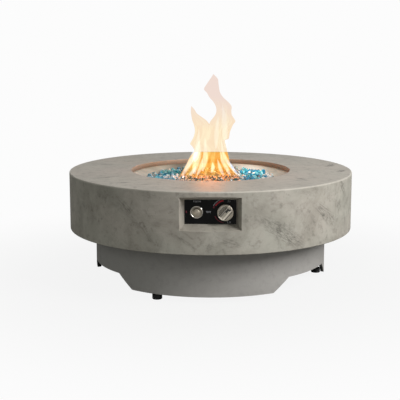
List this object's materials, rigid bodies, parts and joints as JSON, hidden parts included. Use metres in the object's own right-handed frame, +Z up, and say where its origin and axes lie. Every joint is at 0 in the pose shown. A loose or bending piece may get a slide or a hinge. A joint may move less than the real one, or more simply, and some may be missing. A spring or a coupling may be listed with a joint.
{
  "type": "gas fire pit table",
  "caption": "Round free-standing gas fire pit table with a cast top, glass-filled burner bowl, recessed knob and igniter panel, cut-out base drum and levelling feet.",
  "frame": {"origin": "on the ground under the centre of the table", "axes": "+Z up, the control panel faces -Y, +X to the right seen from the front"},
  "size_m": [1.03, 1.03, 0.394],
  "materials": {
    "cast_concrete": "satin",
    "drum_render": "matte",
    "bronze_band": "satin",
    "brushed_bowl_steel": "satin",
    "burner_steel": "satin",
    "fire_glass_blue": "gloss",
    "fire_glass_teal": "gloss",
    "fire_glass_clear": "gloss",
    "panel_black": "gloss",
    "bright_chrome": "polished",
    "satin_chrome": "satin",
    "yellow_brass": "satin",
    "tube_aluminium": "satin",
    "black_steel": "matte",
    "zinc_steel": "satin",
    "white_ceramic": "matte",
    "copper_sheath": "satin",
    "lead_rubber": "matte",
    "black_nylon": "matte",
    "module_plastic": "matte",
    "battery_jacket": "gloss"
  },
  "bodies": {
    "table": {"top_slab": "cast_concrete", "skirt": "cast_concrete", "opening_band": "bronze_band", "burner_bowl": "brushed_bowl_steel", "burner_ring": "burner_steel", "burner_washer": "zinc_steel", "burner_locknut": "yellow_brass", "air_mixer": "yellow_brass", "orifice_elbow": "yellow_brass", "glass_bed": "fire_glass_teal", "glass_chunks_blue": "fire_glass_blue", "glass_chunks_teal": "fire_glass_teal", "glass_chunks_clear": "fire_glass_clear", "pilot_hood": "burner_steel", "igniter_electrode": "white_ceramic", "thermocouple": "copper_sheath", "igniter_lead": "lead_rubber", "thermocouple_lead": "copper_sheath", "panel_plate": "panel_black", "panel_screws": "zinc_steel", "igniter_bezel": "bright_chrome", "igniter_spring": "zinc_steel", "igniter_nut": "black_nylon", "igniter_housing": "module_plastic", "igniter_battery": "battery_jacket", "gas_valve_body": "yellow_brass", "valve_nut": "zinc_steel", "valve_spring": "zinc_steel", "gas_inlet_tube": "tube_aluminium", "gas_supply_tube": "tube_aluminium", "gas_inlet_fitting": "yellow_brass", "inlet_locknut": "yellow_brass", "tube_clips": "black_steel", "clip_screws": "zinc_steel", "deck_plate": "black_steel", "deck_bolts": "zinc_steel", "deck_nuts": "zinc_steel", "deck_brackets": "black_steel", "skirt_screws": "zinc_steel", "foot_screws": "zinc_steel", "support_posts": "black_steel", "base_drum": "drum_render", "foot_nuts": "zinc_steel", "foot_bracket_1": "black_steel", "foot_bracket_2": "black_steel", "foot_bracket_3": "black_steel"},
    "button": {"igniter_button": "satin_chrome"},
    "plunger": {"valve_plunger": "yellow_brass"},
    "knob": {"control_knob": "satin_chrome", "valve_stem": "yellow_brass", "knob_clip": "zinc_steel"},
    "foot_1": {"foot_pad_1": "black_nylon"},
    "stud_1": {"foot_stud_1": "black_steel"},
    "foot_2": {"foot_pad_2": "black_nylon"},
    "stud_2": {"foot_stud_2": "black_steel"},
    "foot_3": {"foot_pad_3": "black_nylon"},
    "stud_3": {"foot_stud_3": "black_steel"}
  },
  "joints": [
    {"name": "igniter_press", "type": "slide", "parent": "table", "child": "button", "axis": [0, 1, 0], "range_m": [0, 0.004], "stiffness_N_per_m": 600, "springref_m": -0.004, "deforming": ["igniter_spring"]},
    {"name": "knob_push", "type": "slide", "parent": "table", "child": "plunger", "axis": [0, 1, 0], "range_m": [0, 0.0035], "stiffness_N_per_m": 1500, "springref_m": -0.003, "deforming": ["valve_spring"]},
    {"name": "knob_turn", "type": "hinge", "parent": "plunger", "child": "knob", "pos_m": [0.048, -0.48, 0.3205], "axis": [0, -1, 0], "range_deg": [-139, 50]},
    {"name": "foot_1_extend", "type": "slide", "parent": "table", "child": "foot_1", "axis": [0, 0, -1], "range_m": [0, 0.012]},
    {"name": "stud_1_turn", "type": "hinge", "parent": "foot_1", "child": "stud_1", "pos_m": [-0.17962, -0.35404, 0.03], "axis": [0, 0, -1], "range_deg": [0, 2880]},
    {"name": "foot_2_extend", "type": "slide", "parent": "table", "child": "foot_2", "axis": [0, 0, -1], "range_m": [0, 0.012]},
    {"name": "stud_2_turn", "type": "hinge", "parent": "foot_2", "child": "stud_2", "pos_m": [0.39642, 0.02147, 0.03], "axis": [0, 0, -1], "range_deg": [0, 2880]},
    {"name": "foot_3_extend", "type": "slide", "parent": "table", "child": "foot_3", "axis": [0, 0, -1], "range_m": [0, 0.012]},
    {"name": "stud_3_turn", "type": "hinge", "parent": "foot_3", "child": "stud_3", "pos_m": [-0.2168, 0.33257, 0.03], "axis": [0, 0, -1], "range_deg": [0, 2880]}
  ],
  "couplings": [
    {"joint": "stud_1_turn", "follows": "foot_1_extend", "rad_per_m": 4188.8},
    {"joint": "stud_2_turn", "follows": "foot_2_extend", "rad_per_m": 4188.8},
    {"joint": "stud_3_turn", "follows": "foot_3_extend", "rad_per_m": 4188.8}
  ]
}
